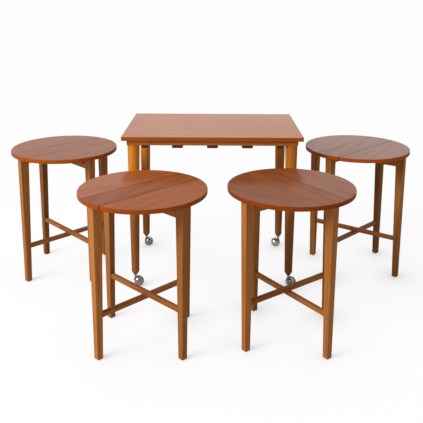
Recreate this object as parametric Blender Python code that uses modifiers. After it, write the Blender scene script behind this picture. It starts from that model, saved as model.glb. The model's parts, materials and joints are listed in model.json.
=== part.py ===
"""Rectangular table on ball castors, with four folding round side tables standing round it.

Metres, +Z up. The origin is on the floor, at the middle of the whole group.
Each round table has a narrow centre board, two hinged leaves, a fixed leg frame
under the board and a gate frame that turns about the middle to carry the leaves.
"""

import math

import bmesh
import bpy
from mathutils import Matrix, Vector

# Fits
GAP = 0.0003  # between pieces that meet
OVERRUN = 0.010  # how far a cutter runs past the piece it cuts
UNION_LAP = 0.002  # how far joined shapes run into each other

# Table top
TABLE_WIDTH = 0.700
TABLE_DEPTH = 0.478
TABLE_HEIGHT = 0.624
TABLE_TOP_THICKNESS = 0.0155
TABLE_TOP_ARRIS = 0.0008

# Rails under the table top
LONG_RAIL_FACE_INSET = 0.011
LONG_RAIL_END_INSET = 0.0195
LONG_RAIL_HEIGHT = 0.0195
TABLE_RAIL_THICKNESS = 0.018
RAIL_ARRIS = 0.001

# Round legs of the table
TABLE_LEG_TOP_RADIUS = 0.0235
TABLE_LEG_FOOT_RADIUS = 0.0153
TABLE_LEG_TIP_RADIUS = 0.0065
TABLE_LEG_TIP_HEIGHT = 0.052
TABLE_LEG_CONE_HEIGHT = 0.014
TABLE_LEG_REVEAL = 0.0005

# Runners that carry the folded round tables
RUNNER_COUNT = 3
RUNNER_FLANGE_WIDTH = 0.0433
RUNNER_FLANGE_THICKNESS = 0.0075
RUNNER_FLANGE_ROUND = 0.004
RUNNER_STEM_WIDTH = 0.020
RUNNER_SETBACK = 0.056
RUNNER_STEM_SETBACK = 0.020
LEDGE_LEG_GAP = 0.0044
LEDGE_STEM_WIDTH = 0.0086
LEDGE_LIP = 0.01565
SLOT_PLAY = 0.001

# Ball castors
CASTOR_BALL_RADIUS = 0.021
CASTOR_TRAIL = 0.014
CASTOR_TILT = math.radians(42)
CASTOR_SPLIT_GAP = 0.0006
CASTOR_RIM_ROUND = 0.0015
CASTOR_STEM_RADIUS = 0.0035
CASTOR_STEM_DEPTH = 0.018
CASTOR_BOSS_RADIUS = 0.006
CASTOR_BOSS_HEIGHT = 0.003
CASTOR_COLLAR_RADIUS = 0.0055
CASTOR_COLLAR_HEIGHT = 0.002
CASTOR_AXLE_RADIUS = 0.003
CASTOR_AXLE_LENGTH = 0.009

# Round tops
STOOL_RADIUS = 0.2145
STOOL_HEIGHT = 0.531
STOOL_TOP_THICKNESS = 0.0155
STOOL_TOP_ARRIS = 0.0018
SEAM_GAP = 0.0009
SEAM_LEAN = 0.003
SEAM_CHAMFER = 0.0008
LEAF_CLEARANCE = 0.0006

# Legs of the round tables: deeper towards the middle than wide at the top, square at the foot
STOOL_LEG_TOP_WIDTH = 0.027
STOOL_LEG_TOP_DEPTH = 0.0345
STOOL_LEG_FOOT_SIZE = 0.021
STOOL_LEG_RIM_INSET = 0.00725
STOOL_LEG_ARRIS = 0.0012
STOOL_FOOT_CHAMFER = 0.0028

# Rails and stretchers of the leg frames
STOOL_RAIL_WIDTH = 0.018
FIXED_RAIL_HEIGHT = 0.021
GATE_RAIL_HEIGHT = 0.020
STRETCHER_WIDTH = 0.017
STRETCHER_HEIGHT = 0.016
FIXED_STRETCHER_UNDERSIDE = 0.140
STRETCHER_ARRIS = 0.002
FRAME_PLAY = 0.0008
GATE_STOP_GAP = 0.0006
TENON_LENGTH = 0.011
TENON_THICKNESS = 0.008
TENON_SHOULDER = 0.003
PIVOT_RADIUS = 0.004
PIVOT_LENGTH = 0.012

# Where the round tables stand
REAR_LEFT_GAP = 0.0535
REAR_RIGHT_GAP = 0.0465
REAR_LEFT_FORWARD = 0.0255
REAR_RIGHT_SETBACK = 0.0105
FRONT_LEFT_GAP = 0.1265
FRONT_RIGHT_GAP = 0.093
FRONT_LEFT_ASIDE = 0.014
FRONT_RIGHT_ASIDE = 0.052

# Facets
RIM_FACETS = 96
LEG_FACETS = 28
PIVOT_FACETS = 16
BALL_FACETS = 20
BALL_RINGS = 6
ROUND_FACETS = 3
ARRIS_FACETS = 1
RIM_ROUND_FACETS = 2
ROUND_PROFILE_SHARE = 0.5
SMOOTH_ANGLE = math.radians(34)
SCREW_MERGE = 0.00001

# Heights and places that follow from the sizes above
TABLE_UNDERSIDE = TABLE_HEIGHT - TABLE_TOP_THICKNESS
LONG_RAIL_UNDERSIDE = TABLE_UNDERSIDE - LONG_RAIL_HEIGHT
SLOT_HEIGHT = STOOL_TOP_THICKNESS + SLOT_PLAY
FLANGE_TOP = LONG_RAIL_UNDERSIDE - SLOT_HEIGHT
FLANGE_UNDERSIDE = FLANGE_TOP - RUNNER_FLANGE_THICKNESS
LEG_X = TABLE_WIDTH / 2 - LONG_RAIL_END_INSET - TABLE_LEG_REVEAL - TABLE_LEG_TOP_RADIUS
LEG_Y = TABLE_DEPTH / 2 - LONG_RAIL_FACE_INSET - TABLE_LEG_REVEAL - TABLE_LEG_TOP_RADIUS
LONG_RAIL_FACE = TABLE_DEPTH / 2 - LONG_RAIL_FACE_INSET
RUNNER_HALF_LENGTH = LONG_RAIL_FACE - RUNNER_SETBACK

# The outer ledges keep clear of the legs, and the runners share the width between them into equal slots
LEDGE_FACE = LEG_X - TABLE_LEG_TOP_RADIUS - LEDGE_LEG_GAP
LEDGE_EDGE = LEDGE_FACE - LEDGE_STEM_WIDTH - LEDGE_LIP
RUNNER_PITCH = (2 * LEDGE_EDGE + RUNNER_FLANGE_WIDTH) / (RUNNER_COUNT + 1)

STOOL_UNDERSIDE = STOOL_HEIGHT - STOOL_TOP_THICKNESS
LEG_HALF_WIDTH = STOOL_LEG_TOP_WIDTH / 2
LEG_HALF_DEPTH = STOOL_LEG_TOP_DEPTH / 2
LEG_CIRCLE = STOOL_RADIUS - STOOL_LEG_RIM_INSET - LEG_HALF_DEPTH
FIXED_RAIL_UNDERSIDE = STOOL_UNDERSIDE - FIXED_RAIL_HEIGHT
GATE_RAIL_UNDERSIDE = FIXED_RAIL_UNDERSIDE - FRAME_PLAY - GATE_RAIL_HEIGHT
GATE_STRETCHER_UNDERSIDE = FIXED_STRETCHER_UNDERSIDE + STRETCHER_HEIGHT + FRAME_PLAY


def closed_gate_angle():
    """Angle of the gate from the fixed frame when its legs lie against the fixed legs."""
    reach = LEG_CIRCLE - LEG_HALF_DEPTH
    across = LEG_HALF_WIDTH + GATE_STOP_GAP
    return math.atan2(LEG_HALF_WIDTH, reach) + math.asin(across / math.hypot(reach, LEG_HALF_WIDTH))


def folded_half_width():
    """Half the thickness of the four legs when the gate is closed."""
    angle = closed_gate_angle()
    return (LEG_CIRCLE + LEG_HALF_DEPTH) * math.sin(angle) + LEG_HALF_WIDTH * math.cos(angle)


HINGE_OFFSET = folded_half_width() + LEAF_CLEARANCE  # the leaves hang clear of the folded legs

# The four places from the table's middle, and the table's middle from the middle of the group
TABLE_SIDE = TABLE_WIDTH / 2
TABLE_BACK = TABLE_DEPTH / 2
STOOL_PLACES = {
    "front_left": (-(FRONT_LEFT_ASIDE + STOOL_RADIUS), -(TABLE_BACK + FRONT_LEFT_GAP + STOOL_RADIUS)),
    "front_right": (FRONT_RIGHT_ASIDE + STOOL_RADIUS, -(TABLE_BACK + FRONT_RIGHT_GAP + STOOL_RADIUS)),
    "rear_left": (-(TABLE_SIDE + REAR_LEFT_GAP + STOOL_RADIUS), -REAR_LEFT_FORWARD),
    "rear_right": (TABLE_SIDE + REAR_RIGHT_GAP + STOOL_RADIUS, REAR_RIGHT_SETBACK),
}
GROUP_LEFT = min(x for x, _ in STOOL_PLACES.values()) - STOOL_RADIUS
GROUP_RIGHT = max(x for x, _ in STOOL_PLACES.values()) + STOOL_RADIUS
GROUP_FRONT = min(y for _, y in STOOL_PLACES.values()) - STOOL_RADIUS
GROUP_BACK = max(TABLE_BACK, max(y for _, y in STOOL_PLACES.values()) + STOOL_RADIUS)
TABLE_X = -(GROUP_LEFT + GROUP_RIGHT) / 2
TABLE_Y = -(GROUP_FRONT + GROUP_BACK) / 2

# Which way each centre board points, and how far its gate stands open from it
BOARD_ANGLES = {"front_left": 45.0, "front_right": 125.4, "rear_left": 45.2, "rear_right": 44.8}
GATE_ANGLES = {"front_left": 91.0, "front_right": 91.6, "rear_left": 88.6, "rear_right": 100.0}
CASTOR_ANGLES = {"front_left": 35.0, "front_right": 35.0, "rear_left": 50.0, "rear_right": 140.0}
CORNERS = {"front_left": (-1, -1), "front_right": (1, -1), "rear_left": (-1, 1), "rear_right": (1, 1)}

# Finishes: colour, roughness, metallic
FINISHES = {
    "table_top_teak": ((0.42, 0.19, 0.10), 0.42, 0.0),
    "round_top_teak": ((0.33, 0.12, 0.06), 0.42, 0.0),
    "leg_teak": ((0.30, 0.12, 0.04), 0.48, 0.0),
    "rail_teak": ((0.13, 0.055, 0.025), 0.55, 0.0),
    "polished_chrome": ((0.72, 0.72, 0.74), 0.12, 1.0),
}


def clear_scene():
    """Remove every object that the file opened with."""
    for item in list(bpy.data.objects):
        bpy.data.objects.remove(item, do_unlink=True)


def finish(name):
    """The Principled material of that name, made once."""
    found = bpy.data.materials.get(name)
    if found:
        return found
    colour, roughness, metallic = FINISHES[name]
    material = bpy.data.materials.new(name)
    material.use_nodes = True
    shader = material.node_tree.nodes["Principled BSDF"]
    shader.inputs["Base Color"].default_value = (*colour, 1.0)
    shader.inputs["Roughness"].default_value = roughness
    shader.inputs["Metallic"].default_value = metallic
    material.diffuse_color = (*colour, 1.0)
    return material


def shape_from(name, mesh_builder):
    """A working object, not yet a part, from a function that fills a bmesh."""
    mesh = bpy.data.meshes.new(name)
    shape = bmesh.new()
    mesh_builder(shape)
    shape.to_mesh(mesh)
    shape.free()
    worker = bpy.data.objects.new(name, mesh)
    bpy.context.scene.collection.objects.link(worker)
    return worker


def block(low, high, arris=0.0):
    """A box between two corners, with all its edges eased by the arris."""

    def build(shape):
        size = Vector(high) - Vector(low)
        middle = (Vector(high) + Vector(low)) / 2
        bmesh.ops.create_cube(shape, size=1)
        bmesh.ops.scale(shape, vec=size, verts=shape.verts)
        if arris:
            bmesh.ops.bevel(shape, geom=shape.edges[:], offset=arris, segments=ARRIS_FACETS,
                            profile=ROUND_PROFILE_SHARE, affect="EDGES")
        bmesh.ops.translate(shape, vec=middle, verts=shape.verts)

    return shape_from("block", build)


def rod(radius, low, high, centre=(0, 0), facets=PIVOT_FACETS):
    """An upright cylinder between two heights."""

    def build(shape):
        bmesh.ops.create_cone(shape, cap_ends=True, segments=facets, radius1=radius,
                              radius2=radius, depth=high - low)
        bmesh.ops.translate(shape, vec=(*centre, (low + high) / 2), verts=shape.verts)

    return shape_from("rod", build)


def turned(points, facets):
    """A solid turned about Z from a profile of (radius, height) points that runs down its outside."""

    def build(shape):
        corners = [shape.verts.new((radius, 0, height)) for radius, height in points]
        for first, second in zip(corners, corners[1:]):
            shape.edges.new((first, second))

    worker = shape_from("turned", build)
    screw = worker.modifiers.new("turn", "SCREW")
    screw.steps = screw.render_steps = facets
    screw.use_merge_vertices = True
    screw.merge_threshold = SCREW_MERGE
    return applied(worker)


def applied(worker):
    """The same object with its modifiers worked into its mesh."""
    bpy.context.view_layer.update()
    graph = bpy.context.evaluated_depsgraph_get()
    mesh = bpy.data.meshes.new_from_object(worker.evaluated_get(graph))
    worker.modifiers.clear()
    worker.data = mesh
    return worker


def combined(base, other, operation):
    """The base with the other shape joined to it or cut from it. The other shape is used up."""
    boolean = base.modifiers.new(operation.lower(), "BOOLEAN")
    boolean.operation = operation
    boolean.object = other
    applied(base)
    bpy.data.objects.remove(other, do_unlink=True)
    return base


def moved(worker, matrix):
    """The working object with its mesh moved by the matrix."""
    worker.data.transform(matrix)
    return worker


def pattern(worker, material):
    """The finished mesh of a working object, with its material. The working object is used up."""
    mesh = worker.data
    mesh.shade_smooth()
    mesh.set_sharp_from_angle(angle=SMOOTH_ANGLE)
    mesh.materials.clear()
    mesh.materials.append(finish(material))
    bpy.data.objects.remove(worker, do_unlink=True)
    return mesh


def add_empty(name, collection, location, turn=0.0, parent=None):
    """An empty that pieces hang from, turned about Z."""
    empty = bpy.data.objects.new(name, None)
    empty.empty_display_size = PIVOT_LENGTH
    empty.location = location
    empty.rotation_euler = (0, 0, turn)
    empty.parent = parent
    collection.objects.link(empty)
    return empty


def add_piece(name, mesh, collection, location=(0, 0, 0), turn=0.0, parent=None):
    """A named sub-part that shares the pattern's mesh."""
    piece = bpy.data.objects.new(name, mesh)
    piece.location = location
    piece.rotation_euler = (0, 0, turn)
    piece.parent = parent
    collection.objects.link(piece)
    return piece


# Table
def table_top_mesh():
    half = Vector((TABLE_WIDTH / 2, TABLE_DEPTH / 2, 0))
    low, high = -half, half.copy()
    low.z, high.z = TABLE_UNDERSIDE, TABLE_HEIGHT
    return pattern(block(low, high, TABLE_TOP_ARRIS), "table_top_teak")


def long_rail_mesh():
    """Front or back rail, over the legs and the full width of the frame."""
    half = TABLE_WIDTH / 2 - LONG_RAIL_END_INSET
    low = (-half, -TABLE_RAIL_THICKNESS / 2, LONG_RAIL_UNDERSIDE)
    high = (half, TABLE_RAIL_THICKNESS / 2, TABLE_UNDERSIDE - GAP)
    return pattern(block(low, high, RAIL_ARRIS), "rail_teak")


def ledge_outline():
    """Section of a side rail as (x, z) points, with X from the leg's middle towards the table's middle."""
    back = -TABLE_RAIL_THICKNESS / 2
    head = TABLE_UNDERSIDE - GAP
    edge = LEG_X - LEDGE_EDGE
    stem_outside = LEG_X - LEDGE_FACE
    stem_inside = stem_outside + LEDGE_STEM_WIDTH
    return [
        (back, head),
        (back, LONG_RAIL_UNDERSIDE),
        (stem_outside, LONG_RAIL_UNDERSIDE),
        (stem_outside, FLANGE_UNDERSIDE),
        (edge, FLANGE_UNDERSIDE),
        (edge, FLANGE_TOP),
        (stem_inside, FLANGE_TOP),
        (stem_inside, head),
    ]


def side_rail_mesh():
    """Side rail between two legs, coped to them, with the ledge of the outer slot on its +X side. The
    ledge is as long as the runners."""

    def build(shape):
        corners = [shape.verts.new((x, -LEG_Y, z)) for x, z in ledge_outline()]
        section = shape.faces.new(corners)
        sweep = bmesh.ops.extrude_face_region(shape, geom=[section])
        swept = [item for item in sweep["geom"] if isinstance(item, bmesh.types.BMVert)]
        bmesh.ops.translate(shape, vec=(0, 2 * LEG_Y, 0), verts=swept)
        bmesh.ops.recalc_face_normals(shape, faces=shape.faces)

    rail = shape_from("side_rail", build)
    inside = TABLE_RAIL_THICKNESS / 2
    for side in (-1, 1):
        leg_space = rod(TABLE_LEG_TOP_RADIUS + GAP, FLANGE_UNDERSIDE - OVERRUN, TABLE_HEIGHT,
                        (0, side * LEG_Y), LEG_FACETS)
        combined(rail, leg_space, "DIFFERENCE")
        near, far = side * RUNNER_HALF_LENGTH, side * TABLE_DEPTH
        end_space = block((inside, min(near, far), FLANGE_UNDERSIDE - OVERRUN),
                          (LEG_X, max(near, far), TABLE_HEIGHT))
        combined(rail, end_space, "DIFFERENCE")
    return pattern(rail, "rail_teak")


def runner_mesh():
    """T-shaped runner from front to back. A folded top slides over its flange, on either side of its stem."""

    def flange(shape):
        bmesh.ops.create_cube(shape, size=1)
        bmesh.ops.scale(shape, vec=(RUNNER_FLANGE_WIDTH, 2 * RUNNER_HALF_LENGTH, RUNNER_FLANGE_THICKNESS),
                        verts=shape.verts)
        lower = [edge for edge in shape.edges
                 if all(corner.co.z < 0 for corner in edge.verts)
                 and edge.verts[0].co.x * edge.verts[1].co.x > 0]
        bmesh.ops.bevel(shape, geom=lower, offset=RUNNER_FLANGE_ROUND, segments=ROUND_FACETS,
                        profile=ROUND_PROFILE_SHARE, affect="EDGES")
        bmesh.ops.translate(shape, vec=(0, 0, (FLANGE_TOP + FLANGE_UNDERSIDE) / 2), verts=shape.verts)

    runner = shape_from("flange", flange)
    stem_half = RUNNER_STEM_WIDTH / 2
    stem_reach = RUNNER_HALF_LENGTH - RUNNER_STEM_SETBACK
    stem = block((-stem_half, -stem_reach, FLANGE_TOP - UNION_LAP),
                 (stem_half, stem_reach, TABLE_UNDERSIDE - GAP))
    return pattern(combined(runner, stem, "UNION"), "rail_teak")


def table_leg_mesh():
    """Turned leg. Its head goes up behind the long rail to the table top, for the front legs at -Y."""
    head = TABLE_UNDERSIDE - GAP
    cone_top = TABLE_LEG_TIP_HEIGHT + TABLE_LEG_CONE_HEIGHT
    socket = TABLE_LEG_TIP_HEIGHT + CASTOR_STEM_DEPTH + GAP
    bore = CASTOR_STEM_RADIUS + GAP
    leg = turned(
        [
            (0, head),
            (TABLE_LEG_TOP_RADIUS, head),
            (TABLE_LEG_TOP_RADIUS, FLANGE_UNDERSIDE),
            (TABLE_LEG_FOOT_RADIUS, cone_top),
            (TABLE_LEG_TIP_RADIUS, TABLE_LEG_TIP_HEIGHT),
            (bore, TABLE_LEG_TIP_HEIGHT),
            (bore, socket),
            (0, socket),
        ],
        LEG_FACETS,
    )
    rail_inside = LONG_RAIL_FACE - TABLE_RAIL_THICKNESS - LEG_Y
    notch = block(
        (-TABLE_LEG_TOP_RADIUS - OVERRUN, -TABLE_LEG_TOP_RADIUS - OVERRUN, LONG_RAIL_UNDERSIDE - GAP),
        (TABLE_LEG_TOP_RADIUS + OVERRUN, -rail_inside + GAP, TABLE_HEIGHT),
    )
    return pattern(combined(leg, notch, "DIFFERENCE"), "leg_teak")


# Castors: the ball is split by a tilted plane into a hood above and a wheel below
def quarter_arc(radius, first, last, steps):
    """Points of an arc from one angle of latitude down to another."""
    turn = (last - first) / steps
    return [(radius * math.cos(first + turn * k), radius * math.sin(first + turn * k))
            for k in range(steps + 1)]


def castor_hood_mesh():
    """Hood with its axle, boss, stem and collar. The stem's axis is the origin's Z axis."""
    split = CASTOR_SPLIT_GAP / 2
    edge = math.asin(split / CASTOR_BALL_RADIUS)
    arc = quarter_arc(CASTOR_BALL_RADIUS, math.pi / 2, edge, BALL_RINGS)[1:]
    hood = turned(
        [(0, CASTOR_BALL_RADIUS), *arc, (CASTOR_AXLE_RADIUS, split),
         (CASTOR_AXLE_RADIUS, -CASTOR_AXLE_LENGTH), (0, -CASTOR_AXLE_LENGTH)],
        BALL_FACETS,
    )
    centre = Matrix.Translation((CASTOR_TRAIL, 0, CASTOR_BALL_RADIUS))
    moved(hood, centre @ Matrix.Rotation(CASTOR_TILT, 4, "X"))
    ball_rise = math.sqrt(CASTOR_BALL_RADIUS ** 2 - CASTOR_TRAIL ** 2)
    dome = CASTOR_BALL_RADIUS + ball_rise
    tip = TABLE_LEG_TIP_HEIGHT - GAP
    boss = rod(CASTOR_BOSS_RADIUS, dome - CASTOR_BOSS_RADIUS, dome + CASTOR_BOSS_HEIGHT)
    stem = rod(CASTOR_STEM_RADIUS, dome - CASTOR_BOSS_RADIUS + UNION_LAP, tip + CASTOR_STEM_DEPTH)
    collar = rod(CASTOR_COLLAR_RADIUS, tip - CASTOR_COLLAR_HEIGHT, tip)
    for piece in (boss, stem, collar):
        combined(hood, piece, "UNION")
    return pattern(hood, "polished_chrome")


def castor_wheel_mesh():
    """Lower half of the ball, which rolls about the tilted axle. Its origin is the ball's centre."""
    split = -CASTOR_SPLIT_GAP / 2
    bore = CASTOR_AXLE_RADIUS + GAP
    bottom = -CASTOR_AXLE_LENGTH - GAP
    edge = math.asin((split - CASTOR_RIM_ROUND) / CASTOR_BALL_RADIUS)
    arc = quarter_arc(CASTOR_BALL_RADIUS, edge, -math.pi / 2, BALL_RINGS)[:-1]
    wheel = turned(
        [(0, bottom), (bore, bottom), (bore, split),
         (CASTOR_BALL_RADIUS - CASTOR_RIM_ROUND, split), *arc, (0, -CASTOR_BALL_RADIUS)],
        BALL_FACETS,
    )
    moved(wheel, Matrix.Rotation(CASTOR_TILT, 4, "X"))
    return pattern(wheel, "polished_chrome")


# Round folding tables
def seam_cutter(offset, outwards):
    """Box that cuts a round top along a leaning seam, on the outward or the inward side of it."""
    reach = STOOL_RADIUS + OVERRUN
    low_y, high_y = (offset, 2 * reach) if outwards else (-2 * reach, offset)
    cutter = block((-reach, low_y, STOOL_UNDERSIDE - OVERRUN), (reach, high_y, STOOL_HEIGHT + OVERRUN))
    for corner in cutter.data.vertices:
        corner.co.y += SEAM_LEAN * (corner.co.z - STOOL_UNDERSIDE) / STOOL_TOP_THICKNESS
    return cutter


def seam_groove():
    """Square bar on edge that eases the seam's two top edges."""
    half_diagonal = SEAM_CHAMFER + SEAM_GAP / 2
    half = half_diagonal / math.sqrt(2)
    reach = STOOL_RADIUS + OVERRUN
    groove = block((-reach, -half, -half), (reach, half, half))
    seam = Matrix.Translation((0, HINGE_OFFSET + SEAM_LEAN, STOOL_HEIGHT))
    return moved(groove, seam @ Matrix.Rotation(math.pi / 4, 4, "X"))


def round_top():
    """The whole round top, before the seams are cut."""

    def build(shape):
        bmesh.ops.create_cone(shape, cap_ends=True, segments=RIM_FACETS, radius1=STOOL_RADIUS,
                              radius2=STOOL_RADIUS, depth=STOOL_TOP_THICKNESS)
        rim = [edge for edge in shape.edges if abs(edge.verts[0].co.z - edge.verts[1].co.z) < GAP]
        bmesh.ops.bevel(shape, geom=rim, offset=STOOL_TOP_ARRIS, segments=RIM_ROUND_FACETS,
                        profile=ROUND_PROFILE_SHARE, affect="EDGES")
        bmesh.ops.translate(shape, vec=(0, 0, (STOOL_HEIGHT + STOOL_UNDERSIDE) / 2), verts=shape.verts)

    return shape_from("round_top", build)


def centre_board_mesh():
    """Centre board with the fixed frame's top rail glued under it, and the hole of the upper pivot."""
    board = round_top()
    for side in (0, math.pi):
        turn = Matrix.Rotation(side, 4, "Z")
        combined(board, moved(seam_groove(), turn), "DIFFERENCE")
        combined(board, moved(seam_cutter(HINGE_OFFSET - SEAM_GAP / 2, outwards=True), turn), "DIFFERENCE")
    rail = frame_bar(STOOL_RAIL_WIDTH, FIXED_RAIL_UNDERSIDE, STOOL_UNDERSIDE, RAIL_ARRIS, UNION_LAP)
    combined(board, rail, "UNION")
    hole = rod(PIVOT_RADIUS + GAP, FIXED_RAIL_UNDERSIDE - OVERRUN, FIXED_RAIL_UNDERSIDE + PIVOT_LENGTH)
    return pattern(combined(board, hole, "DIFFERENCE"), "round_top_teak")


def leaf_mesh():
    """The leaf on the +Y side, with its origin on the hinge line under the seam."""
    leaf = combined(round_top(), seam_groove(), "DIFFERENCE")
    combined(leaf, seam_cutter(HINGE_OFFSET + SEAM_GAP / 2, outwards=False), "DIFFERENCE")
    moved(leaf, Matrix.Translation((0, -HINGE_OFFSET, -STOOL_UNDERSIDE)))
    return pattern(leaf, "round_top_teak")


def leg_half_depth(height):
    """Half the depth of a round table's leg, towards the middle, at a height."""
    share = height / STOOL_UNDERSIDE
    return (STOOL_LEG_FOOT_SIZE + (STOOL_LEG_TOP_DEPTH - STOOL_LEG_FOOT_SIZE) * share) / 2


def tenon_section(low, high):
    """Half thickness, lowest and highest point of the tenons on a bar between two heights."""
    return TENON_THICKNESS / 2, low + TENON_SHOULDER, high - TENON_SHOULDER


def frame_bar(width, low, high, arris, head=0.0):
    """A rail or stretcher along X between two legs, with a tenon on each end. A head of more than
    zero runs it up into the board that it is glued to."""
    shoulder = LEG_CIRCLE - leg_half_depth(high) - GAP
    bar = block((-shoulder, -width / 2, low), (shoulder, width / 2, high + head), arris)
    half, bottom, top = tenon_section(low, high)
    reach = LEG_CIRCLE - leg_half_depth(high) + TENON_LENGTH - GAP
    tenons = block((-reach, -half, bottom), (reach, half, top))
    return combined(bar, tenons, "UNION")


def runs_down_a_corner(edge):
    """Whether an edge of a leg stays in one corner of it, and so isn't one of a face's top or bottom."""
    first, second = (corner.co for corner in edge.verts)
    return first.x * second.x > 0 and first.y * second.y > 0


def stool_leg_mesh(bars):
    """Tapered leg with a mortise for each bar, given by its lowest and highest point. The mortises
    face -X, towards the middle."""
    height = STOOL_UNDERSIDE - GAP

    def build(shape):
        bmesh.ops.create_cube(shape, size=1)
        head_corners = [corner for corner in shape.verts if corner.co.z > 0]
        foot_corners = [corner for corner in shape.verts if corner.co.z < 0]
        bmesh.ops.scale(shape, vec=(STOOL_LEG_TOP_DEPTH, STOOL_LEG_TOP_WIDTH, height), verts=head_corners)
        bmesh.ops.scale(shape, vec=(STOOL_LEG_FOOT_SIZE, STOOL_LEG_FOOT_SIZE, height), verts=foot_corners)
        foot = [edge for edge in shape.edges if all(corner.co.z < 0 for corner in edge.verts)]
        bmesh.ops.bevel(shape, geom=foot, offset=STOOL_FOOT_CHAMFER, segments=1, affect="EDGES")
        corners = [edge for edge in shape.edges if runs_down_a_corner(edge)]
        bmesh.ops.bevel(shape, geom=corners, offset=STOOL_LEG_ARRIS, segments=ARRIS_FACETS,
                        profile=ROUND_PROFILE_SHARE, affect="EDGES")
        bmesh.ops.translate(shape, vec=(0, 0, height / 2), verts=shape.verts)

    leg = shape_from("stool_leg", build)
    for low, high in bars:
        half, bottom, top = tenon_section(low, high)
        depth = TENON_LENGTH - leg_half_depth(high)
        mortise = block((-STOOL_LEG_TOP_DEPTH, -half - GAP, bottom - GAP), (depth, half + GAP, top + GAP))
        combined(leg, mortise, "DIFFERENCE")
    return pattern(leg, "leg_teak")


def fixed_stretcher_mesh():
    """Lower stretcher, under the board, with the hole of the lower pivot."""
    low, high = FIXED_STRETCHER_UNDERSIDE, FIXED_STRETCHER_UNDERSIDE + STRETCHER_HEIGHT
    stretcher = frame_bar(STRETCHER_WIDTH, low, high, STRETCHER_ARRIS)
    hole = rod(PIVOT_RADIUS + GAP, high - PIVOT_LENGTH, high + OVERRUN)
    return pattern(combined(stretcher, hole, "DIFFERENCE"), "leg_teak")


def gate_stretcher_mesh():
    """Stretcher of the gate, just above the fixed one, with the lower pivot pin."""
    low, high = GATE_STRETCHER_UNDERSIDE, GATE_STRETCHER_UNDERSIDE + STRETCHER_HEIGHT
    stretcher = frame_bar(STRETCHER_WIDTH, low, high, STRETCHER_ARRIS)
    pin_end = FIXED_STRETCHER_UNDERSIDE + STRETCHER_HEIGHT - PIVOT_LENGTH + GAP
    pin = rod(PIVOT_RADIUS, pin_end, low + STRETCHER_HEIGHT / 2)
    return pattern(combined(stretcher, pin, "UNION"), "leg_teak")


def gate_rail_mesh():
    """Top rail of the gate, just under the fixed rail, with the upper pivot pin."""
    low, high = GATE_RAIL_UNDERSIDE, GATE_RAIL_UNDERSIDE + GATE_RAIL_HEIGHT
    rail = frame_bar(STOOL_RAIL_WIDTH, low, high, RAIL_ARRIS)
    pin_end = FIXED_RAIL_UNDERSIDE + PIVOT_LENGTH - GAP
    pin = rod(PIVOT_RADIUS, low + GATE_RAIL_HEIGHT / 2, pin_end)
    return pattern(combined(rail, pin, "UNION"), "leg_teak")


def add_table(collection):
    """The table, its runners, legs and castors."""
    root = add_empty("table_frame", collection, (TABLE_X, TABLE_Y, 0))
    add_piece("table_top", table_top_mesh(), collection, parent=root)
    long_rail = long_rail_mesh()
    rail_y = LONG_RAIL_FACE - TABLE_RAIL_THICKNESS / 2
    add_piece("front_rail", long_rail, collection, (0, -rail_y, 0), parent=root)
    add_piece("back_rail", long_rail, collection, (0, rail_y, 0), parent=root)
    side_rail = side_rail_mesh()
    add_piece("left_side_rail", side_rail, collection, (-LEG_X, 0, 0), parent=root)
    add_piece("right_side_rail", side_rail, collection, (LEG_X, 0, 0), math.pi, root)
    runner = runner_mesh()
    for index, place in enumerate(("left", "middle", "right")):
        across = (index - (RUNNER_COUNT - 1) / 2) * RUNNER_PITCH
        add_piece(f"{place}_runner", runner, collection, (across, 0, 0), parent=root)
    leg, hood, wheel = table_leg_mesh(), castor_hood_mesh(), castor_wheel_mesh()
    for corner, (side, end) in CORNERS.items():
        place = (side * LEG_X, end * LEG_Y, 0)
        add_piece(f"table_{corner}_leg", leg, collection, place, math.pi if end > 0 else 0.0, root)
        swivel = add_empty(f"{corner}_swivel", collection, place, math.radians(CASTOR_ANGLES[corner]), root)
        add_piece(f"{corner}_castor_hood", hood, collection, parent=swivel)
        add_piece(f"{corner}_castor_wheel", wheel, collection, (CASTOR_TRAIL, 0, CASTOR_BALL_RADIUS),
                  parent=swivel)


def stool_meshes():
    """The meshes that the four round tables share."""
    rail = (FIXED_RAIL_UNDERSIDE, STOOL_UNDERSIDE)
    stretcher = (FIXED_STRETCHER_UNDERSIDE, FIXED_STRETCHER_UNDERSIDE + STRETCHER_HEIGHT)
    gate_rail = (GATE_RAIL_UNDERSIDE, GATE_RAIL_UNDERSIDE + GATE_RAIL_HEIGHT)
    gate_stretcher = (GATE_STRETCHER_UNDERSIDE, GATE_STRETCHER_UNDERSIDE + STRETCHER_HEIGHT)
    return {
        "centre_board": centre_board_mesh(),
        "leaf": leaf_mesh(),
        "fixed_leg": stool_leg_mesh([rail, stretcher]),
        "fixed_stretcher": fixed_stretcher_mesh(),
        "gate_leg": stool_leg_mesh([gate_rail, gate_stretcher]),
        "gate_rail": gate_rail_mesh(),
        "gate_stretcher": gate_stretcher_mesh(),
    }


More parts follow.
